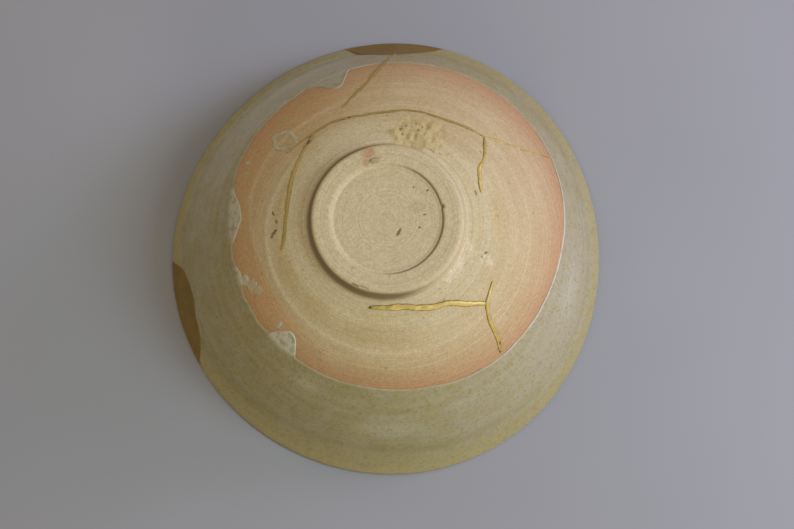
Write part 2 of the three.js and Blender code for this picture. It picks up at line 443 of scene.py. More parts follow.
def rough_ground(x, y, size, seed):
    """Three sizes of hills added up, each half the size and half the height of the one before."""
    return sum(hills(x, y, size / 2**n, seed + n) / 2**n for n in range(3))


# ---- the bowl's half section ----


def waves(angle, parts):
    """Sum of cosine and sine waves around the axis."""
    return sum(c * np.cos(n * angle) + s * np.sin(n * angle) for n, c, s in parts)


def warp(radius, angle):
    """How far the kiln moved the wall out: waves that grow from the foot to the rim."""
    return between(radius, FOOT_ROOT_RADIUS, RIM_RADIUS) * waves(angle, WARP_WAVES)


def arc(centre_r, centre_z, start, end):
    """Points on a part of the lip's rounding, between two directions in degrees."""
    angle = np.radians(np.linspace(start, end, 12))
    return np.stack([centre_r + LIP_ROUNDING * np.cos(angle), centre_z + LIP_ROUNDING * np.sin(angle)], -1)


def inside_line(outside):
    """The outside moved in by the wall's thickness, shrinking from foot to lip, then the dished floor."""
    along = lengths_along(outside)
    share = np.linspace(INSIDE_END, 0, 120)
    line = np.stack([np.interp(share * along[-1], along, axis) for axis in outside.T], -1)
    slope = np.gradient(line, axis=0)
    slope /= np.linalg.norm(slope, axis=1)[:, None]
    inwards = np.stack([-slope[:, 1], slope[:, 0]], -1)
    thickness = WALL_AT_FOOT + (WALL_AT_LIP - WALL_AT_FOOT) * share
    wall = line + inwards * thickness[:, None]
    corner_r, corner_z = wall[-1]
    floor = HEIGHT - RECESS_DEPTH - FLOOR_THICKNESS
    r = np.linspace(corner_r, 0, 40)[1:]
    dish = np.stack([r, floor - (floor - corner_z) * (r / corner_r) ** 4], -1)
    return np.concatenate([wall, dish])


class Section:
    """Half section from the recess over the foot, wall and lip to the inside's middle, by arc length."""

    step = 0.1

    def __init__(self):
        recess = HEIGHT - RECESS_DEPTH
        outside = curve_through(WALL_OUTSIDE, 24)
        foot = [
            (0, recess),
            (RECESS_RADIUS - RECESS_SLOPE, recess),
            (RECESS_RADIUS, HEIGHT),
            (FOOT_RADIUS, HEIGHT),
            (FOOT_RADIUS + FOOT_BEVEL, HEIGHT - FOOT_BEVEL),
        ]
        lip_inner = RIM_RADIUS - LIP_ROUNDING - LIP_LAND
        lip = [
            arc(RIM_RADIUS - LIP_ROUNDING, LIP_ROUNDING, 0, -90),
            arc(lip_inner, LIP_ROUNDING, -90, -180),
        ]
        line = np.concatenate([foot, outside[:-1], *lip, inside_line(outside)])
        line = evenly(line, self.step)
        self.r = blurred(line[:, 0], 3.5)
        self.z = blurred(line[:, 1], 3.5)
        self.s = lengths_along(np.stack([self.r, self.z], -1))
        dr, dz = np.gradient(self.r, self.s), np.gradient(self.z, self.s)
        size = np.hypot(dr, dz)
        self.out_r, self.out_z = -dz / size, dr / size
        self.lip = float(self.s[np.argmin(np.hypot(self.r - (lip_inner + LIP_LAND / 2), self.z))])
        self.end = float(self.s[-1])
        self.outer = self.s <= self.s[np.argmax(self.r)]

    def reach(self, radius):
        """Arc length at which the outside has a radius."""
        return np.interp(radius, self.r[self.outer], self.s[self.outer])

    def radius(self, s):
        return np.interp(s, self.s, self.r)

    def height(self, s):
        return np.interp(s, self.s, self.z)

    def broken_outside(self, height):
        """Arc length at which the outside has a height above the rim."""
        part = (self.s > self.reach(50)) & (self.s <= self.lip)
        s, z = self.s[part][::-1], self.z[part][::-1]
        return np.minimum(np.interp(height, np.maximum.accumulate(z), s), self.lip - 0.4)

    def broken_inside(self, height):
        """Arc length at which the inside has a height above the rim."""
        part = (self.s >= self.lip) & (self.s < self.end - 40)
        s, z = self.s[part], self.z[part]
        return np.maximum(np.interp(height, np.maximum.accumulate(z), s), self.lip + 0.4)

    def at(self, s, angle, lift):
        """Point of the skin: the section turned by the angle, moved out along its normal, then warped."""
        r = np.interp(s, self.s, self.r) + lift * np.interp(s, self.s, self.out_r)
        z = np.interp(s, self.s, self.z) + lift * np.interp(s, self.s, self.out_z)
        warped = r + warp(r, angle)
        return np.stack([warped * np.cos(angle), warped * np.sin(angle), z], -1)


SECTION = Section()


# ---- meshes ----


def closed_skin(name, grid, fields, flip=False):
    """Mesh of a grid that closes around each row, and whose first and last rows are one point each.

    A grid has rows, columns and x, y, z. Fields are named grids of numbers, kept as point attributes.
    """
    rows, columns = grid.shape[:2]
    here = np.arange(columns)
    following = (here + 1) % columns

    def joined(values):
        flat = values[1:-1].reshape(-1, *values.shape[2:])
        return np.concatenate([values[:1].mean(axis=1), flat, values[-1:].mean(axis=1)])

    points = joined(grid)
    last = len(points) - 1
    row = 1 + np.arange(rows - 3)[:, None] * columns
    quads = np.stack([row + here, row + columns + here, row + columns + following, row + following], -1)
    end = 1 + (rows - 3) * columns
    first_fan = np.stack([np.zeros(columns, int), 1 + here, 1 + following], -1)
    last_fan = np.stack([end + here, np.full(columns, last), end + following], -1)
    faces = [*first_fan.tolist(), *quads.reshape(-1, 4).tolist(), *last_fan.tolist()]
    if flip:
        faces = [face[::-1] for face in faces]
    mesh = bpy.data.meshes.new(name)
    mesh.from_pydata((points * MM).tolist(), [], faces)
    for field, values in fields.items():
        attribute = mesh.attributes.new(field, "FLOAT", "POINT")
        attribute.data.foreach_set("value", joined(values).astype(np.float32))
    mesh.shade_smooth()
    mesh.update()
    return mesh


def finished_piece(name, mesh, material, slot, *nodes):
    """Object of a mesh, with its material, and the CAD nodes that it stands for, which it hides; slot is
    not used.
    """
    mesh.materials.append(material)
    piece = bpy.data.objects.new(name, mesh)
    bpy.context.scene.collection.objects.link(piece)
    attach(piece, "root")
    if nodes:
        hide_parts(*nodes)
    return piece


def joined_mesh(name, meshes):
    """One mesh holding several, with their attributes."""
    parts = [bpy.data.objects.new(name, mesh) for mesh in meshes]
    for part in parts:
        bpy.context.scene.collection.objects.link(part)
    if len(parts) > 1:
        with bpy.context.temp_override(active_object=parts[0], selected_editable_objects=parts):
            bpy.ops.object.join()
    mesh = parts[0].data
    bpy.data.objects.remove(parts[0])
    mesh.name = name
    return mesh


# ---- where the glaze ends and where the rim is broken ----


def along_run(angle, edge):
    """How far one run reaches below the glaze line: a smooth curve through its (degrees, length) points."""
    line = curve_through(edge, 8)
    away = turn_gap(angle, edge[0][0])
    return np.clip(np.interp(away, line[:, 0] - edge[0][0], line[:, 1], left=0, right=0), 0, None)


def plain_glaze_line(angle):
    """Radius at which the glaze ends, without its runs."""
    return round_the_bowl(angle, GLAZE_LINE, 4)


def glaze_line(angle):
    """Radius at which the glaze ends: the plain line, less each run, plus a fine unevenness."""
    radius = plain_glaze_line(angle)
    for run in GLAZE_RUNS:
        radius = radius - along_run(angle, run["edge"])
    shaded = between(np.abs(turn_gap(angle, 165)), 100, 40)
    x, y = np.cos(angle) * 50, np.sin(angle) * 50
    broad = hills(x, y, 5, 11) * (0.08 + 0.25 * shaded)
    fine = hills(x, y, 1.6, 12) * (0.06 + 0.1 * shaded)
    return radius + broad + fine


def chip_height(angle):
    """Height above the rim up to which the wall is broken away; 0 where it is whole."""
    height = np.zeros_like(angle)
    for chip in CHIPS:
        degrees, heights = np.transpose(chip["edge"])
        line = curve_through(np.stack([CHIP_RADIUS * np.sin(np.radians(degrees)), heights], -1), 12)
        away = turn_gap(angle, chip["middle"])
        across = CHIP_RADIUS * np.sin(np.radians(np.clip(away, -60, 60)))
        height = np.maximum(height, np.interp(across, line[:, 0], line[:, 1], left=0, right=0))
    return height


def glaze_lift(angle, s):
    """Height of the glaze on the clay: a rounded edge, a thicker roll behind it, thinner at the lip."""
    edge = SECTION.reach(glaze_line(angle))
    inwards = s - edge
    share = np.clip(inwards / 0.8, 0, 1)
    rounded = np.sqrt(np.clip(1 - (1 - share) ** 2, 0, 1))
    roll = 1 + 0.35 * hump(inwards, 1.2, 0.9)
    thickness = bpy.context.scene.bowl_glaze.thickness / MM
    full = thickness * between(SECTION.height(s), 0.3, 7)
    return full * rounded * roll - 0.04 * (inwards <= 0.02)


# ---- clay ----


def clay_marks(radius, angle):
    """Named masks from 0 to 1 for the flushes, ridges, stains and dirt of the bare clay, with painted shade
    on the foot wall and recess edge and a painted highlight at the foot's root.
    """
    x, y = radius * np.cos(angle), radius * np.sin(angle)
    gap = np.maximum(plain_glaze_line(angle) - radius, 0)
    inner = round_the_bowl(angle, INNER_RIDGE)
    outer = round_the_bowl(angle, OUTER_RIDGE)
    cloud = rough_ground(x, y, 9, 22)

    breadth = round_the_bowl(angle, FLUSH_BREADTH)
    blush = round_the_bowl(angle, FLUSH_STRENGTH) * np.exp(-((gap / breadth) ** 1.3))
    shaded = between(np.abs(turn_gap(angle, 168)), 84, 46)
    past_inner = between(radius, inner + 0.5, inner + 3)
    past_outer = between(radius, outer - 0.8, outer + 0.7)
    rust = shaded * (0.45 * past_inner + 0.55 * past_outer)
    tan = between(radius + 1.2 * cloud, 30.5, 36.5) * (0.85 + 0.25 * cloud)

    inner_seen = round_the_bowl(angle, INNER_RIDGE_SEEN)
    outer_seen = round_the_bowl(angle, OUTER_RIDGE_SEEN)
    pale = inner_seen * (0.8 * hump(radius, inner, 1.0) + 0.35 * hump(radius, inner + 1.6, 1.6))
    pale = pale + outer_seen * hump(radius, outer - 0.5, 0.7)
    # Painted highlight: a pale line along the crest of the small lip at the foot's root, on the upper left.
    pale = pale + 0.9 * hump(radius, 26.4, 0.5) * between(np.abs(turn_gap(angle, 135)), 62, 35)
    left_root = between(np.abs(turn_gap(angle, 170)), 60, 30)
    pale = pale + 0.45 * left_root * hump(radius, 29.5, 2.4)
    yellow = 0.35 * hump(radius, 34.5, 1.2) * between(np.abs(turn_gap(angle, -170)), 60, 30)
    for ring, half in ((27.3, 0.35), (29.6, 0.4)):
        yellow = yellow + 0.55 * hump(radius, ring, half) * between(np.abs(turn_gap(angle, 18)), 48, 25)
    streak = between(np.abs(turn_gap(angle, 2)), 22, 8) * between(np.abs(radius - 36.2), 2.8, 1.2)
    near_seam = between(np.abs(turn_gap(angle, -82)), 30, 14) * between(np.abs(radius - 30.6), 2.6, 0.6)
    thin_arc = hump(radius, 30.2, 0.35) * between(np.abs(turn_gap(angle, 92)), 11, 6)
    mottle = 0.5 + 0.5 * hills(x * 3, y, 3, 21)
    yellow = np.clip(yellow + (0.55 * streak + 0.6 * near_seam) * mottle + 0.8 * thin_arc, 0, 1)
    return {
        "blush": np.clip(blush, 0, 1),
        "tan": np.clip(tan, 0, 1),
        "rust": rust,
        "pale": np.clip(pale, 0, 1),
        "yellow": yellow,
        "turn": radius * (1 + (41 / inner - 1) * between(radius, 27, 38)),
        "patch": plucked_patch(x, y),
        "worn": worn_edge(x, y, radius, angle),
        "stain": stains(x, y),
        "dirt_and_shade": dirt_and_shade_marks(x, y, radius, angle),
    }


def near_spot(x, y, spot):
    """1 at the middle of an oval spot (x, y, half length, half width, degrees), fading past its edge."""
    cx, cy, length, width, degrees = spot
    c, s = math.cos(math.radians(degrees)), math.sin(math.radians(degrees))
    u = ((x - cx) * c + (y - cy) * s) / length
    v = ((y - cy) * c - (x - cx) * s) / width
    return between(np.hypot(u, v), 1.35, 0.7)


def near_line(x, y, points, half_width):
    """1 on a broken line through points, fading past its half width."""
    nearest = np.full(np.shape(x), 1e9)
    for (ax, ay), (bx, by) in zip(points[:-1], points[1:]):
        dx, dy = bx - ax, by - ay
        share = np.clip(((x - ax) * dx + (y - ay) * dy) / (dx * dx + dy * dy), 0, 1)
        nearest = np.minimum(nearest, np.hypot(x - ax - share * dx, y - ay - share * dy))
    return between(nearest, half_width * 1.4, half_width * 0.5)


def plucked_patch(x, y):
    """Where the clay was torn out beside the foot: an oval with a ragged edge."""
    away = np.hypot((x - 10.8) / 9.4, (y - 28.6) / 7.0) + 0.16 * rough_ground(x, y, 3.2, 31)
    outside_foot = between(np.hypot(x, y), 24.8, 25.8)
    return between(away, 1.08, 0.86) * outside_foot


def worn_edge(x, y, radius, angle):
    """The rubbed, crumbling edge of the foot, with pale dust spread below it."""
    sector = between(np.abs(turn_gap(angle, -30)), 22, 10)
    edge = between(np.abs(radius - 25.8 - 1.1 * sector), 2.2, 0.4) * sector
    dust = between(np.hypot((x - 29.5) / 6.5, (y + 11.5) / 4.5), 1.3, 0.2) * 0.6
    return np.clip(np.maximum(edge, dust) * (0.85 + 0.8 * rough_ground(x, y, 1.8, 41)), 0, 1)


# Oval marks: x, y, half length, half width, degrees. A stain's strength comes before its mark.
STAINS = [
    (0.75, (-5.9, 21.2, 2.2, 1.5, 20)),
    (0.5, (-6.6, 18.4, 1.1, 1.5, 0)),
    (0.6, (-10.3, -15.8, 0.9, 0.4, 0)),
    (0.3, (9.4, 3.7, 2.6, 1.7, 0)),
]
PITS = [
    (3.6, -4.2, 1.5, 0.5, 63), (10.1, -2.7, 0.4, 0.35, 0), (12.6, 9.3, 0.42, 0.35, 0),
    (8.2, 10.3, 0.3, 0.3, 0), (11.7, 1.5, 0.5, 0.25, 0), (17.6, 4.0, 0.5, 0.8, 0),
    (28.4, 9.7, 1.1, 0.35, -65), (-36.6, 3.6, 0.9, 0.35, -70), (-35.5, 0.8, 0.8, 0.35, -60),
    (-36.4, -2.9, 0.9, 0.5, 40), (-35.7, -2.0, 0.5, 0.35, 0), (-37.0, -4.0, 0.5, 0.4, 0),
    (4.3, 30.8, 0.6, 0.4, 0), (5.9, 32.0, 0.6, 0.35, 40), (9.1, 32.8, 0.5, 0.35, 0),
    (11.2, 31.7, 0.5, 0.4, 0), (9.8, 30.3, 0.45, 0.4, 0), (4.7, 29.0, 0.4, 0.4, 0),
    (31.4, -9.6, 0.7, 0.35, 50), (30.1, -10.9, 0.5, 0.3, 40),
]
CRACK_ON_FOOT = [(-10.9, -20.9), (-8.4, -21.6), (-5.8, -22.5)]
CRACK_IN_PATCH = [(10.8, 24.6), (13.6, 23.6), (16.8, 22.4), (18.2, 22.0), (19.8, 22.7)]
CRACK_BY_PATCH = [(-13.5, 22.9), (-8.8, 27.0), (-3.0, 29.4), (0.8, 30.1), (3.7, 30.5)]


def stains(x, y):
    """Rusty halo of the drop on the foot in two parts, and two small stains."""
    marks = [strength * near_spot(x, y, spot) for strength, spot in STAINS]
    return np.clip(np.max(marks, axis=0) * (1 + 0.6 * hills(x, y, 0.9, 51)), 0, 1)


def dirt_and_shade_marks(x, y, radius, angle):
    """Pits, cracks, painted shade on the foot wall where the foot grows out of the body, heaviest on the
    left, and a painted shadow line inside the right edge of the recess.
    """
    marks = [near_spot(x, y, pit) for pit in PITS]
    marks.append(near_line(x, y, CRACK_ON_FOOT, 0.22))
    marks.append(0.7 * near_line(x, y, CRACK_IN_PATCH, 0.2))
    marks.append(0.35 * near_line(x, y, CRACK_BY_PATCH, 0.2))
    # Painted shade: a dark band along the foot wall, all round but heaviest on the left, away from the
    # lamps.
    left_of_foot = between(np.abs(turn_gap(angle, -165)), 115, 70)
    marks.append(1.15 * hump(radius, 24.7, 0.9) * (0.35 + 0.65 * left_of_foot))
    # Painted shadow: a thin dark line just inside the recess's edge on the right, where its wall is in
    # shade.
    right_of_recess = between(np.abs(turn_gap(angle, -10)), 110, 60)
    marks.append(hump(radius, RECESS_RADIUS - 0.3, 0.3) * right_of_recess)
    return np.clip(np.max(marks, axis=0), 0, 1)


def clay_relief(radius, angle, marks):
    """Height of the clay's skin over the section: ridges, turned lines, torn patch, pits and cracks."""
    x, y = radius * np.cos(angle), radius * np.sin(angle)
    clay = bpy.context.scene.bowl_clay
    ridge = clay.ridge_height / MM
    on_wall = between(radius, FOOT_ROOT_RADIUS + 1, FOOT_ROOT_RADIUS + 3)
    turn = marks["turn"]
    lines = hills(turn, 0.6 * angle, 2.3, 61) * 0.085 + hills(turn, 2 * angle, 0.9, 62) * 0.02
    steps = ridge * (marks["pale"] * 1.2 + 0.5 * marks["yellow"])
    torn = marks["patch"] * (0.6 * rough_ground(x, y, 2.6, 63) - 0.12)
    rubbed = marks["worn"] * (0.22 * rough_ground(x, y, 1.8, 64) - 0.12)
    sunk = -0.25 * marks["dirt_and_shade"] * (marks["dirt_and_shade"] > 0.5)
    uneven = 0.05 * rough_ground(x, y, 6, 65)
    foot_rings = 0.05 * (hump(radius, 15.5, 0.5) - hump(radius, 20.4, 1.0)) * (radius < RECESS_RADIUS + 4)
    return lines * (0.3 + 0.7 * on_wall) + steps + torn + rubbed + sunk + uneven + foot_rings


def clay_grid():
    """Grid of the whole body: rows run from the recess over the lip, and its columns turn all round."""
    angle = np.linspace(0, 2 * np.pi, TURN_COLUMNS, endpoint=False)[None, :]
    height = chip_height(angle)
    edge = SECTION.reach(glaze_line(angle))
    root = SECTION.reach(FOOT_ROOT_RADIUS)
    outside, inside = SECTION.broken_outside(height), SECTION.broken_inside(height)

    def rows(start, end, count):
        return start + (end - start) * (np.arange(count) / count)[:, None] * np.ones_like(angle)

    upper = np.concatenate([rows(0, root, 66), rows(root, edge + 1.2, 76), rows(edge + 1.2, outside, 8)])
    lower = rows(inside, SECTION.end, 12)
    turned = np.broadcast_to(angle, upper.shape)
    radius = SECTION.radius(upper)
    marks = clay_marks(radius, turned)
    under_glaze = between(upper - edge, 0.1, 1.1)
    lift = clay_relief(radius, turned, marks) * (1 - under_glaze) - CLAY_UNDER_GLAZE * under_glaze
    top = SECTION.at(upper, turned, lift)
    break_top = SECTION.at(outside, angle, -CLAY_UNDER_GLAZE)[0]
    break_low = SECTION.at(inside, angle, -CLAY_UNDER_GLAZE)[0]
    share = np.linspace(0, 1, 4)[:, None, None]
    across = break_top + (break_low - break_top) * share
    across[..., 2] += 0.3
    below = SECTION.at(lower[1:], angle, -CLAY_UNDER_GLAZE)
    pole = np.broadcast_to(SECTION.at(SECTION.end, 0.0, -CLAY_UNDER_GLAZE), (1, TURN_COLUMNS, 3))
    grid = np.concatenate([top, across, below, pole])
    hidden = len(grid) - len(top)
    fields = {}
    for name, values in marks.items():
        last = values[-1:] * (name == "turn")
        fields[name] = np.concatenate([values, np.repeat(last, hidden, axis=0)])
    return grid, fields


# ---- glaze ----


GLAZE_SPECKS = [
    (-12.9, -50.1, 0.5, 0.35, 20), (-17.2, -49.9, 0.45, 0.4, 0), (-8.3, -52.1, 0.5, 0.3, 40),
    (-15.6, -51.0, 0.35, 0.3, 0), (-28.1, -46.7, 0.5, 0.4, 0), (12.0, -49.9, 0.6, 0.3, 0),
    (-9.1, -57.6, 0.6, 0.45, 0), (22.1, -50.7, 0.5, 0.4, 0), (16.7, -54.5, 0.5, 0.35, 30),
    (-36.1, -49.8, 0.5, 0.4, 0), (43.8, -39.5, 0.6, 0.4, 0), (40.2, -42.0, 0.4, 0.3, 0),
]


def glaze_marks(s, angle, edge):
    """Named masks of the glaze: distance from its edge, lip, painted shade in the waist groove, runs, tone
    round the bowl, specks.
    """
    radius = SECTION.radius(s)
    height = SECTION.height(s)
    x, y = radius * np.cos(angle), radius * np.sin(angle)
    waist = round_the_bowl(angle, WAIST_LINE)
    outer = between(s, SECTION.lip + 2, SECTION.lip - 1)
    plain = plain_glaze_line(angle)
    run = np.zeros_like(s)
    for flow in GLAZE_RUNS:
        here = between(along_run(angle, flow["edge"]), 0.2, 1.0)
        run = np.maximum(run, flow["white"] * here * between(radius - plain, 1.5, -0.5))
    crawl = round_the_bowl(angle, CRAWLED_EDGE)
    ashen = round_the_bowl(angle, ASHEN_SIDE) * (1 - 0.6 * between(radius, 60, 56))
    beige = round_the_bowl(angle, BEIGE_SIDE)
    cloud = sum(hump(turn_gap(angle, d), 0, w) * hump(radius, r, h) for d, r, w, h in GLAZE_CLOUDS)
    spots = [near_spot(x, y, spot) for spot in GLAZE_SPECKS]
    return {
        "edge": np.clip(s - edge, 0, 50),
        "lip": outer * between(radius, waist + 0.3, waist + 2.0),
        # Painted shade in the groove of the waist under the lip.
        "waist": outer * hump(radius, waist, 1.3) * (0.75 + 0.4 * rough_ground(x, y, 9, 71)),
        "run": run,
        "crawl": np.maximum(crawl, run),
        "ashen": ashen,
        "beige": np.clip(beige, 0, 1),
        "cloud": np.clip(cloud, 0, 1) * outer,
        "height": height,
        "spots": np.max(spots, axis=0) * outer,
    }


def glaze_grid():
    """Grid of the coat: its rows run under the coat to its edge, back over the lip, and up the inside."""
    angle = np.linspace(0, 2 * np.pi, GLAZE_COLUMNS, endpoint=False)[None, :]
    height = chip_height(angle)
    edge = SECTION.reach(glaze_line(angle))
    outside, inside = SECTION.broken_outside(height), SECTION.broken_inside(height)
    ones = np.ones_like(angle)
    near_edge = np.array([0, 0.06, 0.16, 0.3, 0.5, 0.75, 1.05, 1.4])[:, None] + edge
    start = edge + 1.8
    wall = start + (outside - start) * np.linspace(0, 1, 84)[:, None]
    shown = np.concatenate([near_edge, wall])
    turned = np.broadcast_to(angle, shown.shape)
    x = SECTION.radius(shown) * np.cos(turned)
    y = SECTION.radius(shown) * np.sin(turned)
    waist = round_the_bowl(turned, WAIST_LINE)
    off_lip = between(SECTION.height(shown), 0.3, 5)
    uneven = 0.07 * rough_ground(x, y, 9, 81) * between(shown - edge, 0.5, 4) * off_lip
    groove = 0.38 * hump(SECTION.radius(shown), waist, 1.7) * off_lip
    lift = glaze_lift(turned, shown) + uneven - groove
    outer = SECTION.at(shown, turned, lift)
    inner_s = inside + (SECTION.end - inside) * np.linspace(0, 1, 36)[:, None]
    inner_turned = np.broadcast_to(angle, inner_s.shape)
    inner = SECTION.at(inner_s, inner_turned, 0.05 * between(SECTION.height(inner_s), 0.3, 5))
    share = np.linspace(0, 1, 4)[1:-1, None, None]
    across = outer[-1] + (inner[0] - outer[-1]) * share

    under_inner_s = inner_s[::-3][:12]
    under_inner = SECTION.at(under_inner_s, angle, -GLAZE_UNDERSIDE)
    under_outer_s = outside + (edge + 0.3 - outside) * np.linspace(0, 1, 8)[:, None]
    sunk = -GLAZE_UNDERSIDE + 0.5 * between(under_outer_s - edge, 1.6, 0.3)
    under_outer = SECTION.at(under_outer_s, angle, sunk)
    grid = np.concatenate([under_inner, under_outer, outer, across, inner])
    all_s = np.concatenate([under_inner_s, under_outer_s, shown, outside * ones, inside * ones, inner_s])
    fields = glaze_marks(all_s, np.broadcast_to(angle, all_s.shape), edge)
    return grid, fields


# ---- gold fills of the rim ----


def fill_grid(chip):
    """Grid of one fill: each row is a loop from the broken edge round the lip and back through the wall."""
    degrees = np.array(chip["edge"])[:, 0]
    middle = math.radians(chip["middle"])
    spread = np.linspace(math.radians(degrees[0] - 1), math.radians(degrees[-1] + 1), 220)
    height = chip_height(middle + spread)
    there = np.flatnonzero(height > 0.02)
    spread = np.linspace(spread[there[0]], spread[there[-1]], 170)
    angle = (middle + spread)[:, None]
    height = chip_height(angle)
    overlap = 0.35 * between(height, 0, 1.5)
    start = SECTION.broken_outside(height) - overlap
    end = SECTION.broken_inside(height) + overlap
    share = smooth(np.linspace(0, 1, 64))[None, :] * 0.5 + np.linspace(0, 1, 64)[None, :] * 0.5
    s = start + (end - start) * share
    turned = np.broadcast_to(angle, s.shape)
    inwards = np.minimum(s - start, end - s)
    rounded = np.sqrt(np.clip(1 - (1 - np.clip(inwards / 0.9, 0, 1)) ** 2, 0, 1))
    proud = bpy.context.scene.bowl_gold.proud / MM
    low = between(SECTION.height(s), 0.2, 2.0)
    lift = glaze_lift(turned, s) * (s < SECTION.lip) + proud * rounded * low - 0.03
    x, y = SECTION.radius(s) * np.cos(turned), SECTION.radius(s) * np.sin(turned)
    lift = lift + 0.05 * rough_ground(x, y + SECTION.height(s), 6, 91) * low
    skin = SECTION.at(s, turned, lift)
    back = np.linspace(1, 0, 6)[None, 1:-1, None]
    sunk_out = SECTION.at(start + 0.3, angle, -FILL_UNDERSIDE)
    sunk_in = SECTION.at(end - 0.3, angle, -FILL_UNDERSIDE)
    through = sunk_out + (sunk_in - sunk_out) * back
    loops = np.concatenate([skin, through], axis=1)
    first = np.broadcast_to(loops[:1].mean(axis=1, keepdims=True), loops[:1].shape)
    last = np.broadcast_to(loops[-1:].mean(axis=1, keepdims=True), loops[-1:].shape)
    return np.concatenate([first, loops, last])


# ---- gold lines ----


def seam_route(route, step=0.25):
    """Points (x, y) along a crack, evenly spaced, with a slight unsteadiness of the brush."""
    polar = np.asarray(route, float)
    angle = np.radians(polar[:, 1])
    flat = np.stack([polar[:, 0] * np.cos(angle), polar[:, 0] * np.sin(angle)], -1)
    line = evenly(curve_through(flat, 24), step)
    along = lengths_along(line)
    ahead = np.gradient(line, axis=0)
    ahead /= np.linalg.norm(ahead, axis=1)[:, None]
    side = np.stack([-ahead[:, 1], ahead[:, 0]], -1)
    shake = 0.12 * hills(along, flat[0, 0] + 0 * along, 2.6, 101) + 0.04 * hills(along, along, 0.9, 102)
    return line + side * shake[:, None], along


def seam_grid(line, seed):
    """Grid of one gold line: a low dome carried along the crack, closed at both ends."""
    flat, along = seam_route(line["route"])
    radius = np.hypot(flat[:, 0], flat[:, 1])
    angle = np.arctan2(flat[:, 1], flat[:, 0])
    s = SECTION.reach(radius)
    ground = np.where(s > SECTION.reach(glaze_line(angle)), glaze_lift(angle, s), 0)
    middle = SECTION.at(s, angle, blurred(ground, 3) - 0.03)
    up = SECTION.at(s, angle, blurred(ground, 3) + 1.0) - middle
    up /= np.linalg.norm(up, axis=1)[:, None]
    ahead = np.gradient(middle, axis=0)
    ahead /= np.linalg.norm(ahead, axis=1)[:, None]
    side = np.cross(ahead, up)

    share = along / along[-1]
    widths = np.interp(share, np.linspace(0, 1, len(line["half_width"])), line["half_width"])
    widths = 1.12 * blurred(widths, 6) * (1 + 0.2 * hills(along, along * 0 + seed, 1.4, 111))
    from_end = np.minimum(along, along[-1] - along)
    tip = np.sqrt(np.clip(1 - (1 - np.clip(from_end / 1.1, 0, 1)) ** 2, 0, 1))
    half = (widths * tip)[:, None]
    tall = (line["height"] * tip * (1 + 0.22 * hills(along, along * 0 + seed, 1.9, 112)))[:, None]
    turn = np.linspace(0, 2 * np.pi, 20, endpoint=False)[None, :]
    across = np.cos(turn) * half
    upwards = np.abs(np.sin(turn))
    dome = np.where(np.sin(turn) > 0, upwards**0.8 * tall, -0.35 * tip[:, None] * upwards)
    uneven = 0.06 * hills(along[:, None] + across * 2, across * 3 + seed, 0.8, 113)
    dome = dome + uneven * (np.sin(turn) > 0.2)
    grid = middle[:, None] + side[:, None] * across[..., None] + up[:, None] * dome[..., None]
    edge = np.broadcast_to(np.abs(np.cos(turn)), across.shape)
    bright = np.interp(share, np.linspace(0, 1, len(line["bright"])), line["bright"])
    bare = np.max([near_spot(grid[..., 0], grid[..., 1], spot) for spot in LACQUER_SPOTS], axis=0)
    fields = {"across": edge, "bright": np.broadcast_to(bright[:, None], across.shape), "bare": bare}
    return grid, fields


def splash_grid(splash, seed):
    """Grid of one splash: rings from its middle out over a low dome with a rolled rim, and back under."""
    (middle, degrees), (outwards, sideways) = splash["at"], splash["half"]
    top = np.linspace(0, 1, 16)[:, None]
    turn = np.linspace(0, 2 * np.pi, 72, endpoint=False)[None, :]
    reach = 1 + 0.13 * rough_ground(np.cos(turn) * 2, np.sin(turn) * 2, 1.1, 120 + seed)
    share = np.concatenate([top, top[::-1] * 0.9])
    radius = middle + outwards * share * reach * np.cos(turn)
    angle = math.radians(degrees) + sideways * share * reach * np.sin(turn) / middle
    x, y = radius * np.cos(angle), radius * np.sin(angle)
    closed = 1 - 0.75 * between(np.cos(turn), -0.3, -0.95)
    rim = hump(top * (1 + 0 * turn), 0.82, 0.17) * closed
    dome = np.sqrt(np.clip(1 - top**2, 0, 1)) * (1 - splash["sunk"] * 0.85)
    rough = 0.35 * rough_ground(x[:16], y[:16], 1.0, 130 + seed) * (1 - splash["gloss"])
    over = splash["height"] * (dome + splash["sunk"] * rim + rough * between(top, 1, 0.85))
    lift = np.concatenate([over, np.full((16, turn.size), -0.3)])
    grid = SECTION.at(SECTION.reach(radius), angle, lift)
    flat = np.ones_like(grid[:16, :, 0])
    pale = splash["white"] * (1 - splash["sunk"] * (1 - rim)) * flat
    gloss = np.full_like(grid[..., 0], splash["gloss"])
    return grid, {"run": np.concatenate([pale, pale[::-1]]), "gloss": gloss}


# ---- materials ----


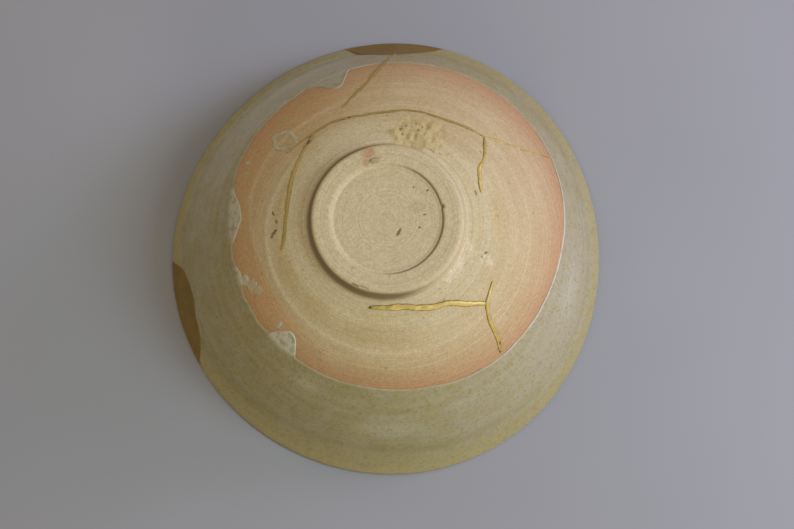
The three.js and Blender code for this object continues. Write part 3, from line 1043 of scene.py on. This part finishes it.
class Finish:
    """A material's nodes, made one after another."""

    def __init__(self, name):
        self.material = bpy.data.materials.new(name)
        self.material.use_nodes = True
        self.tree = self.material.node_tree
        self.tree.nodes.clear()
        self.shader = self.tree.nodes.new("ShaderNodeBsdfPrincipled")
        output = self.tree.nodes.new("ShaderNodeOutputMaterial")
        self.tree.links.new(self.shader.outputs[0], output.inputs[0])
        self.place = self.tree.nodes.new("ShaderNodeTexCoord").outputs["Object"]

    def put(self, socket, value):
        """Links a socket to a node's output, or sets its number or colour."""
        if isinstance(value, bpy.types.NodeSocket):
            self.tree.links.new(value, socket)
        elif hasattr(value, "__len__") and len(value) == 3 and socket.type == "RGBA":
            socket.default_value = (*value, 1)
        else:
            socket.default_value = value

    def mark(self, name):
        """A point attribute of the mesh."""
        node = self.tree.nodes.new("ShaderNodeAttribute")
        node.attribute_name = name
        return node.outputs["Fac"]

    def sum(self, operation, first, second=0.0, third=0.0, clamp=False):
        """A math node."""
        node = self.tree.nodes.new("ShaderNodeMath")
        node.operation = operation
        node.use_clamp = clamp
        for socket, value in zip(node.inputs, (first, second, third)):
            self.put(socket, value)
        return node.outputs[0]

    def blend(self, share, first, second, mode="MIX"):
        """A colour mix of two colours."""
        node = self.tree.nodes.new("ShaderNodeMix")
        node.data_type = "RGBA"
        node.blend_type = mode
        self.put(node.inputs["Factor"], share)
        self.put(node.inputs["A"], first)
        self.put(node.inputs["B"], second)
        return node.outputs["Result"]

    def fit(self, value, low, high, new_low=0.0, new_high=1.0):
        """A range mapped smoothly on another, held at its ends."""
        node = self.tree.nodes.new("ShaderNodeMapRange")
        node.interpolation_type = "SMOOTHSTEP"
        for socket, number in zip(node.inputs, (value, low, high, new_low, new_high)):
            self.put(socket, number)
        return node.outputs[0]

    def noise(self, scale, detail=2.0, roughness=0.5, place=None, lines=None, distortion=0.0):
        """Noise over Object coordinates in metres, or over one number where lines gives it."""
        node = self.tree.nodes.new("ShaderNodeTexNoise")
        if lines is not None:
            node.noise_dimensions = "1D"
            self.put(node.inputs["W"], lines)
        else:
            self.put(node.inputs["Vector"], place or self.place)
        self.put(node.inputs["Scale"], scale)
        self.put(node.inputs["Detail"], detail)
        self.put(node.inputs["Roughness"], roughness)
        self.put(node.inputs["Distortion"], distortion)
        return node.outputs["Fac"]

    def cells(self, scale, place=None, randomness=1.0):
        """Distance to the nearest of many scattered points, in cells."""
        node = self.tree.nodes.new("ShaderNodeTexVoronoi")
        self.put(node.inputs["Vector"], place or self.place)
        self.put(node.inputs["Scale"], scale)
        self.put(node.inputs["Randomness"], randomness)
        return node.outputs["Distance"], node.outputs["Color"]

    def relief(self, height, distance, normal=None, strength=1.0):
        """A bump of a height in metres."""
        node = self.tree.nodes.new("ShaderNodeBump")
        self.put(node.inputs["Height"], height)
        self.put(node.inputs["Distance"], distance)
        self.put(node.inputs["Strength"], strength)
        if normal:
            self.put(node.inputs["Normal"], normal)
        return node.outputs["Normal"]

    def set(self, **sockets):
        """Sets the shader's sockets; an underscore in a name stands for a space."""
        for name, value in sockets.items():
            self.put(self.shader.inputs[name.replace("_", " ")], value)
        return self.material


def clay_finish():
    """Bare stoneware: cream and tan clay with flushes, turned lines, sandy grain, specks, dirt, painted
    shade at the foot and recess, and a painted highlight at the foot's root.
    """
    colours = bpy.context.scene.bowl_clay
    finish = Finish("bare_stoneware")
    turn = finish.mark("turn")
    broad = finish.noise(0.32, 2, 0.5, lines=turn)
    fine = finish.noise(1.6, 3, 0.7, lines=turn)
    cloud = finish.noise(90, 3, 0.55)
    grain = finish.noise(2600, 2, 0.6)
    sand = finish.noise(900, 2, 0.6)

    drift = finish.sum("ADD", broad, finish.sum("MULTIPLY", cloud, 0.5))
    drift = finish.fit(drift, 0.55, 0.95, -0.22, 0.22)
    tan = finish.sum("ADD", finish.mark("tan"), drift, clamp=True)
    colour = finish.blend(tan, colours.cream, colours.tan)
    colour = finish.blend(finish.mark("rust"), colour, colours.rust)
    colour = finish.blend(finish.mark("blush"), colour, colours.blush)
    pale = finish.sum("MULTIPLY", finish.mark("pale"), finish.fit(cloud, 0.2, 0.8, 0.5, 1.0), clamp=True)
    colour = finish.blend(pale, colour, colours.pale)
    colour = finish.blend(finish.sum("MULTIPLY", finish.mark("yellow"), 0.8), colour, colours.yellow)
    worn = finish.fit(finish.sum("ADD", finish.mark("worn"), finish.sum("MULTIPLY", sand, 0.5)), 0.45, 1.1)
    colour = finish.blend(worn, colour, colours.pale)
    colour = finish.blend(finish.sum("MULTIPLY", finish.mark("patch"), 0.55), colour, colours.yellow)
    colour = finish.blend(finish.mark("stain"), colour, colours.blush)
    shade = finish.fit(fine, 0.3, 0.7, 0.92, 1.05)
    shade = finish.sum("MULTIPLY", shade, finish.fit(grain, 0.35, 0.65, 0.88, 1.07))
    shade = finish.sum("MULTIPLY", shade, finish.fit(sand, 0.3, 0.7, 0.92, 1.06))
    colour = finish.blend(1.0, colour, shade, "MULTIPLY")
    distance, which = finish.cells(330)
    speck = finish.sum("LESS_THAN", distance, 0.16)
    speck = finish.sum("MULTIPLY", speck, finish.fit(which, 0.72, 0.8, 0, 0.3))
    colour = finish.blend(speck, colour, colours.dirt_and_shade)
    # Dirt of pits and cracks, with painted shade on the foot wall and a painted shadow line in the recess.
    dirt_and_shade = finish.sum("ADD", finish.mark("dirt_and_shade"), finish.sum("MULTIPLY", grain, 0.4))
    dirt_and_shade = finish.fit(dirt_and_shade, 0.35, 1.25, 0, 0.85)
    colour = finish.blend(dirt_and_shade, colour, colours.dirt_and_shade)
    bump = finish.relief(grain, colours.grain)
    bump = finish.relief(fine, colours.grain * 0.6, bump)
    return finish.set(Base_Color=colour, Roughness=finish.fit(sand, 0.2, 0.8, 0.7, 0.88), Normal=bump)


def glaze_finish():
    """Satin ash glaze: olive, grey and beige clouds, green specks, a pale crawled edge, painted shade in
    the waist groove.
    """
    colours = bpy.context.scene.bowl_glaze
    finish = Finish("ash_glaze")
    cloud = finish.noise(120, 4, 0.6)
    patches = finish.noise(420, 3, 0.6)
    grain = finish.noise(1900, 2, 0.6)
    streak = finish.noise(0.5, 2, 0.5, lines=finish.mark("height"))
    ashen = finish.sum("ADD", finish.mark("ashen"), finish.fit(cloud, 0.3, 0.7, -0.25, 0.25), clamp=True)
    colour = finish.blend(ashen, colours.olive, colours.ash)
    colour = finish.blend(finish.mark("beige"), colour, colours.beige)
    lip = finish.sum("ADD", finish.mark("lip"), finish.fit(streak, 0.3, 0.7, -0.25, 0.05), clamp=True)
    colour = finish.blend(lip, colour, colours.lip)
    colour = finish.blend(finish.sum("MULTIPLY", finish.mark("cloud"), 0.35), colour, colours.white)
    shade = finish.fit(patches, 0.3, 0.7, 0.84, 1.13)
    shade = finish.sum("MULTIPLY", shade, finish.fit(grain, 0.3, 0.7, 0.9, 1.08))
    shade = finish.sum("MULTIPLY", shade, finish.fit(streak, 0.25, 0.75, 0.95, 1.04))
    colour = finish.blend(1.0, colour, shade, "MULTIPLY")
    specks = finish.sum("MULTIPLY", finish.fit(patches, 0.47, 0.62), finish.fit(grain, 0.38, 0.55))
    specks = finish.sum("MULTIPLY", specks, finish.fit(finish.mark("ashen"), 0, 1, 0.8, 0.3))
    colour = finish.blend(specks, colour, colours.speck)
    distance, which = finish.cells(330)
    dots = finish.sum("MULTIPLY", finish.fit(distance, 0.24, 0.1), finish.fit(which, 0.55, 0.65, 0, 0.5))
    dots = finish.sum("MAXIMUM", dots, finish.sum("MULTIPLY", finish.mark("spots"), 0.6))
    colour = finish.blend(dots, colour, colours.speck)
    # Painted shade in the waist groove, in the speck colour.
    colour = finish.blend(finish.sum("MULTIPLY", finish.mark("waist"), 0.3), colour, colours.speck)
    ragged = finish.sum("ADD", finish.mark("edge"), finish.sum("MULTIPLY", patches, 0.7))
    rim = finish.fit(ragged, 1.15, 0.55)
    run = finish.sum("MULTIPLY", finish.mark("run"), finish.fit(patches, 0.35, 0.6, 0.2, 0.95))
    white = finish.sum("MAXIMUM", finish.sum("MULTIPLY", rim, finish.mark("crawl")), run)
    colour = finish.blend(white, colour, colours.white)
    bump = finish.relief(patches, 0.00010)
    bump = finish.relief(grain, 0.00004, bump)
    return finish.set(Base_Color=colour, Roughness=finish.fit(patches, 0.3, 0.7, 0.42, 0.6), Normal=bump)


def splash_finish():
    """Splashed glaze: whitish and crumbly where it dried thick, thin and olive over the clay elsewhere."""
    glaze, clay = bpy.context.scene.bowl_glaze, bpy.context.scene.bowl_clay
    finish = Finish("splashed_glaze")
    patches = finish.noise(900, 3, 0.6)
    grain = finish.noise(2400, 2, 0.6)
    thin = finish.blend(finish.fit(patches, 0.3, 0.7, 0.35, 0.75), clay.tan, glaze.olive)
    white = finish.sum("MULTIPLY", finish.mark("run"), finish.fit(patches, 0.35, 0.6, 0.35, 1.0))
    colour = finish.blend(white, thin, glaze.white)
    colour = finish.blend(1.0, colour, finish.fit(grain, 0.3, 0.7, 0.93, 1.06), "MULTIPLY")
    bump = finish.relief(patches, 0.00010)
    rough = finish.fit(finish.mark("gloss"), 0, 1, 0.6, 0.08)
    return finish.set(Base_Color=colour, Roughness=rough, Normal=bump)


def fill_gold_finish():
    """Brown, rubbed gold powder on lacquer."""
    colours = bpy.context.scene.bowl_gold
    finish = Finish("rubbed_gold")
    cloud = finish.noise(160, 3, 0.6)
    grain = finish.noise(3000, 2, 0.6)
    colour = finish.blend(finish.fit(cloud, 0.3, 0.7, 0, 0.35), colours.fill, colours.lacquer)
    colour = finish.blend(finish.fit(grain, 0.55, 0.8, 0, 0.4), colour, colours.line)
    bump = finish.relief(grain, 0.00002)
    rough = finish.fit(cloud, 0.3, 0.7, 0.5, 0.65)
    return finish.set(Base_Color=colour, Metallic=0.35, Roughness=rough, Normal=bump)


def seam_gold_finish():
    """Burnished gold powder, with dark lacquer along both sides and where it has rubbed through."""
    colours = bpy.context.scene.bowl_gold
    finish = Finish("burnished_gold")
    patches = finish.noise(500, 3, 0.6)
    grain = finish.noise(3600, 2, 0.6)
    edge = finish.sum("ADD", finish.mark("across"), finish.sum("MULTIPLY", patches, 0.6))
    edge = finish.fit(edge, 0.98, 1.3, 0, 0.9)
    colour = finish.blend(finish.mark("bright"), colours.worn, colours.line)
    colour = finish.blend(finish.fit(patches, 0.4, 0.75, 0, 0.3), colour, colours.worn)
    colour = finish.blend(edge, colour, colours.lacquer)
    bare = finish.sum("ADD", finish.mark("bare"), finish.sum("MULTIPLY", patches, 0.4))
    bare = finish.fit(bare, 0.4, 0.9, 0, 0.9)
    colour = finish.blend(bare, colour, colours.lacquer)
    bump = finish.relief(finish.noise(1100, 3, 0.6), 0.00006)
    rough = finish.fit(grain, 0.3, 0.7, 0.42, 0.58)
    return finish.set(Base_Color=colour, Metallic=0.35, Roughness=rough, Normal=bump)


def floor_finish():
    """Plain pale floor."""
    finish = Finish("pale_floor")
    stage = bpy.context.scene.bowl_stage
    cloud = finish.noise(9, 2, 0.5)
    colour = finish.blend(1.0, stage.floor, finish.fit(cloud, 0.2, 0.8, 0.96, 1.03), "MULTIPLY")
    return finish.set(Base_Color=colour, Roughness=0.9)


# ---- operators ----


class BOWL_OT_clay_body(bpy.types.Operator):
    """Turn the stoneware body with its foot, recess, ridges and pits"""

    bl_idname = "bowl.clay_body"
    bl_label = "Clay Body"

    def execute(self, context):
        grid, fields = clay_grid()
        mesh = closed_skin("clay_body", grid, fields)
        finished_piece("clay_body", mesh, clay_finish(), "stoneware", "bowl_body")
        return {"FINISHED"}


class BOWL_OT_glaze_coat(bpy.types.Operator):
    """Lay the glaze over the wall, the lip and the inside"""

    bl_idname = "bowl.glaze_coat"
    bl_label = "Glaze Coat"

    def execute(self, context):
        grid, fields = glaze_grid()
        finished_piece("glaze_coat", closed_skin("glaze_coat", grid, fields), glaze_finish(), "stoneware")
        return {"FINISHED"}


class BOWL_OT_splashes(bpy.types.Operator):
    """Splash glaze on the bare clay and on the foot"""

    bl_idname = "bowl.splashes"
    bl_label = "Splashes"

    def execute(self, context):
        parts = []
        for seed, splash in enumerate(SPLASHES):
            grid, fields = splash_grid(splash, seed)
            parts.append(closed_skin("glaze_splashes", grid, fields))
        finished_piece("glaze_splashes", joined_mesh("glaze_splashes", parts), splash_finish(), "stoneware")
        return {"FINISHED"}


class BOWL_OT_rim_fills(bpy.types.Operator):
    """Fill the two chips in the rim"""

    bl_idname = "bowl.rim_fills"
    bl_label = "Rim Fills"

    def execute(self, context):
        material = fill_gold_finish()
        for chip in CHIPS:
            mesh = closed_skin(chip["piece"], fill_grid(chip), {}, flip=True)
            finished_piece(chip["piece"], mesh, material, "fill_gold", chip["node"])
        return {"FINISHED"}


class BOWL_OT_gold_lines(bpy.types.Operator):
    """Draw the raised gold lines along the cracks"""

    bl_idname = "bowl.gold_lines"
    bl_label = "Gold Lines"

    def execute(self, context):
        material = seam_gold_finish()
        for number, seam in enumerate(SEAMS):
            parts = []
            for line in seam["lines"]:
                grid, fields = seam_grid(line, 7.0 * number + len(parts))
                parts.append(closed_skin(seam["piece"], grid, fields))
            mesh = joined_mesh(seam["piece"], parts)
            finished_piece(seam["piece"], mesh, material, "seam_gold", seam["node"])
        return {"FINISHED"}


class BOWL_OT_stage(bpy.types.Operator):
    """Set up the floor, the lights and the camera"""

    bl_idname = "bowl.stage"
    bl_label = "Stage"

    def execute(self, context):
        stage = context.scene.bowl_stage
        context.scene.view_settings.view_transform = "Standard"
        half = FLOOR_HALF_WIDTH
        mesh = bpy.data.meshes.new("floor")
        corners = [(-half, -half, 0), (half, -half, 0), (half, half, 0), (-half, half, 0)]
        mesh.from_pydata(corners, [], [(0, 1, 2, 3)])
        mesh.materials.append(floor_finish())
        floor = bpy.data.objects.new("floor", mesh)
        context.scene.collection.objects.link(floor)

        world = bpy.data.worlds.new("soft_room")
        world.use_nodes = True
        background = world.node_tree.nodes["Background"]
        background.inputs["Color"].default_value = (*stage.sky, 1)
        background.inputs["Strength"].default_value = stage.sky_strength
        context.scene.world = world

        for name, azimuth, elevation, power, colour in LAMPS:
            area_light(name, azimuth, elevation, power * stage.light_share, colour)

        data = bpy.data.cameras.new("camera")
        data.lens = CAMERA_LENS
        data.sensor_width = CAMERA_SENSOR
        camera = bpy.data.objects.new("camera", data)
        target = Vector(CAMERA_TARGET)
        back = Vector((0, -math.cos(stage.camera_elevation), math.sin(stage.camera_elevation)))
        camera.location = target + back * stage.camera_distance
        camera.rotation_euler = (-back).to_track_quat("-Z", "Y").to_euler()
        context.scene.collection.objects.link(camera)
        context.scene.camera = camera
        return {"FINISHED"}


LAMP_DISTANCE = 0.7
LAMP_SIZE = 0.26

# Name, azimuth from +X towards +Y, elevation, watts, colour.
LAMPS = [
    ("window", -10, 45, 2.41, (0.64, 0.80, 1.0)),
    ("low_window", 15, 22, 1.81, (0.86, 0.70, 1.0)),
    ("wall_behind", 130, 35, 0.43, (1.0, 0.84, 0.74)),
    ("wall_in_front", -75, 22, 0.86, (1.0, 0.88, 0.56)),
]


def area_light(name, azimuth, elevation, power, colour):
    """A square lamp that looks at the bowl."""
    data = bpy.data.lights.new(name, "AREA")
    data.size = LAMP_SIZE
    data.energy = power
    data.color = colour
    light = bpy.data.objects.new(name, data)
    a, e = math.radians(azimuth), math.radians(elevation)
    out = Vector((math.cos(a) * math.cos(e), math.sin(a) * math.cos(e), math.sin(e)))
    light.location = out * LAMP_DISTANCE
    light.rotation_euler = (-out).to_track_quat("-Z", "Y").to_euler()
    bpy.context.scene.collection.objects.link(light)


class BOWL_PT_panel(bpy.types.Panel):
    """The bowl's settings and makers"""

    bl_label = "Tea Bowl"
    bl_space_type = "VIEW_3D"
    bl_region_type = "UI"
    bl_category = "Tea Bowl"

    def draw(self, context):
        for title, group, operators in PANEL_ROWS:
            box = self.layout.box()
            box.label(text=title)
            settings = getattr(context.scene, group)
            for name in settings.bl_rna.properties.keys():
                if name not in {"rna_type", "name"}:
                    box.prop(settings, name)
            for operator in operators:
                box.operator(operator)


SETTINGS = {
    "bowl_clay": BowlClaySettings,
    "bowl_glaze": BowlGlazeSettings,
    "bowl_gold": BowlGoldSettings,
    "bowl_stage": BowlStageSettings,
}
OPERATORS = [
    BOWL_OT_clay_body,
    BOWL_OT_glaze_coat,
    BOWL_OT_splashes,
    BOWL_OT_rim_fills,
    BOWL_OT_gold_lines,
    BOWL_OT_stage,
]
PANEL_ROWS = [
    ("Clay", "bowl_clay", ["bowl.clay_body"]),
    ("Glaze", "bowl_glaze", ["bowl.glaze_coat", "bowl.splashes"]),
    ("Gold", "bowl_gold", ["bowl.rim_fills", "bowl.gold_lines"]),
    ("Stage", "bowl_stage", ["bowl.stage"]),
]


def register():
    for group in [*SETTINGS.values(), *OPERATORS, BOWL_PT_panel]:
        bpy.utils.register_class(group)
    for name, group in SETTINGS.items():
        setattr(bpy.types.Scene, name, bpy.props.PointerProperty(type=group))


def unregister():
    for name in SETTINGS:
        delattr(bpy.types.Scene, name)
    for group in reversed([*SETTINGS.values(), *OPERATORS, BOWL_PT_panel]):
        bpy.utils.unregister_class(group)


def main():
    register()
    bpy.ops.bowl.clay_body()
    bpy.ops.bowl.glaze_coat()
    bpy.ops.bowl.splashes()
    bpy.ops.bowl.rim_fills()
    bpy.ops.bowl.gold_lines()
    bpy.ops.bowl.stage()
    bpy.context.view_layer.update()


if __name__ == "__main__":
    main()
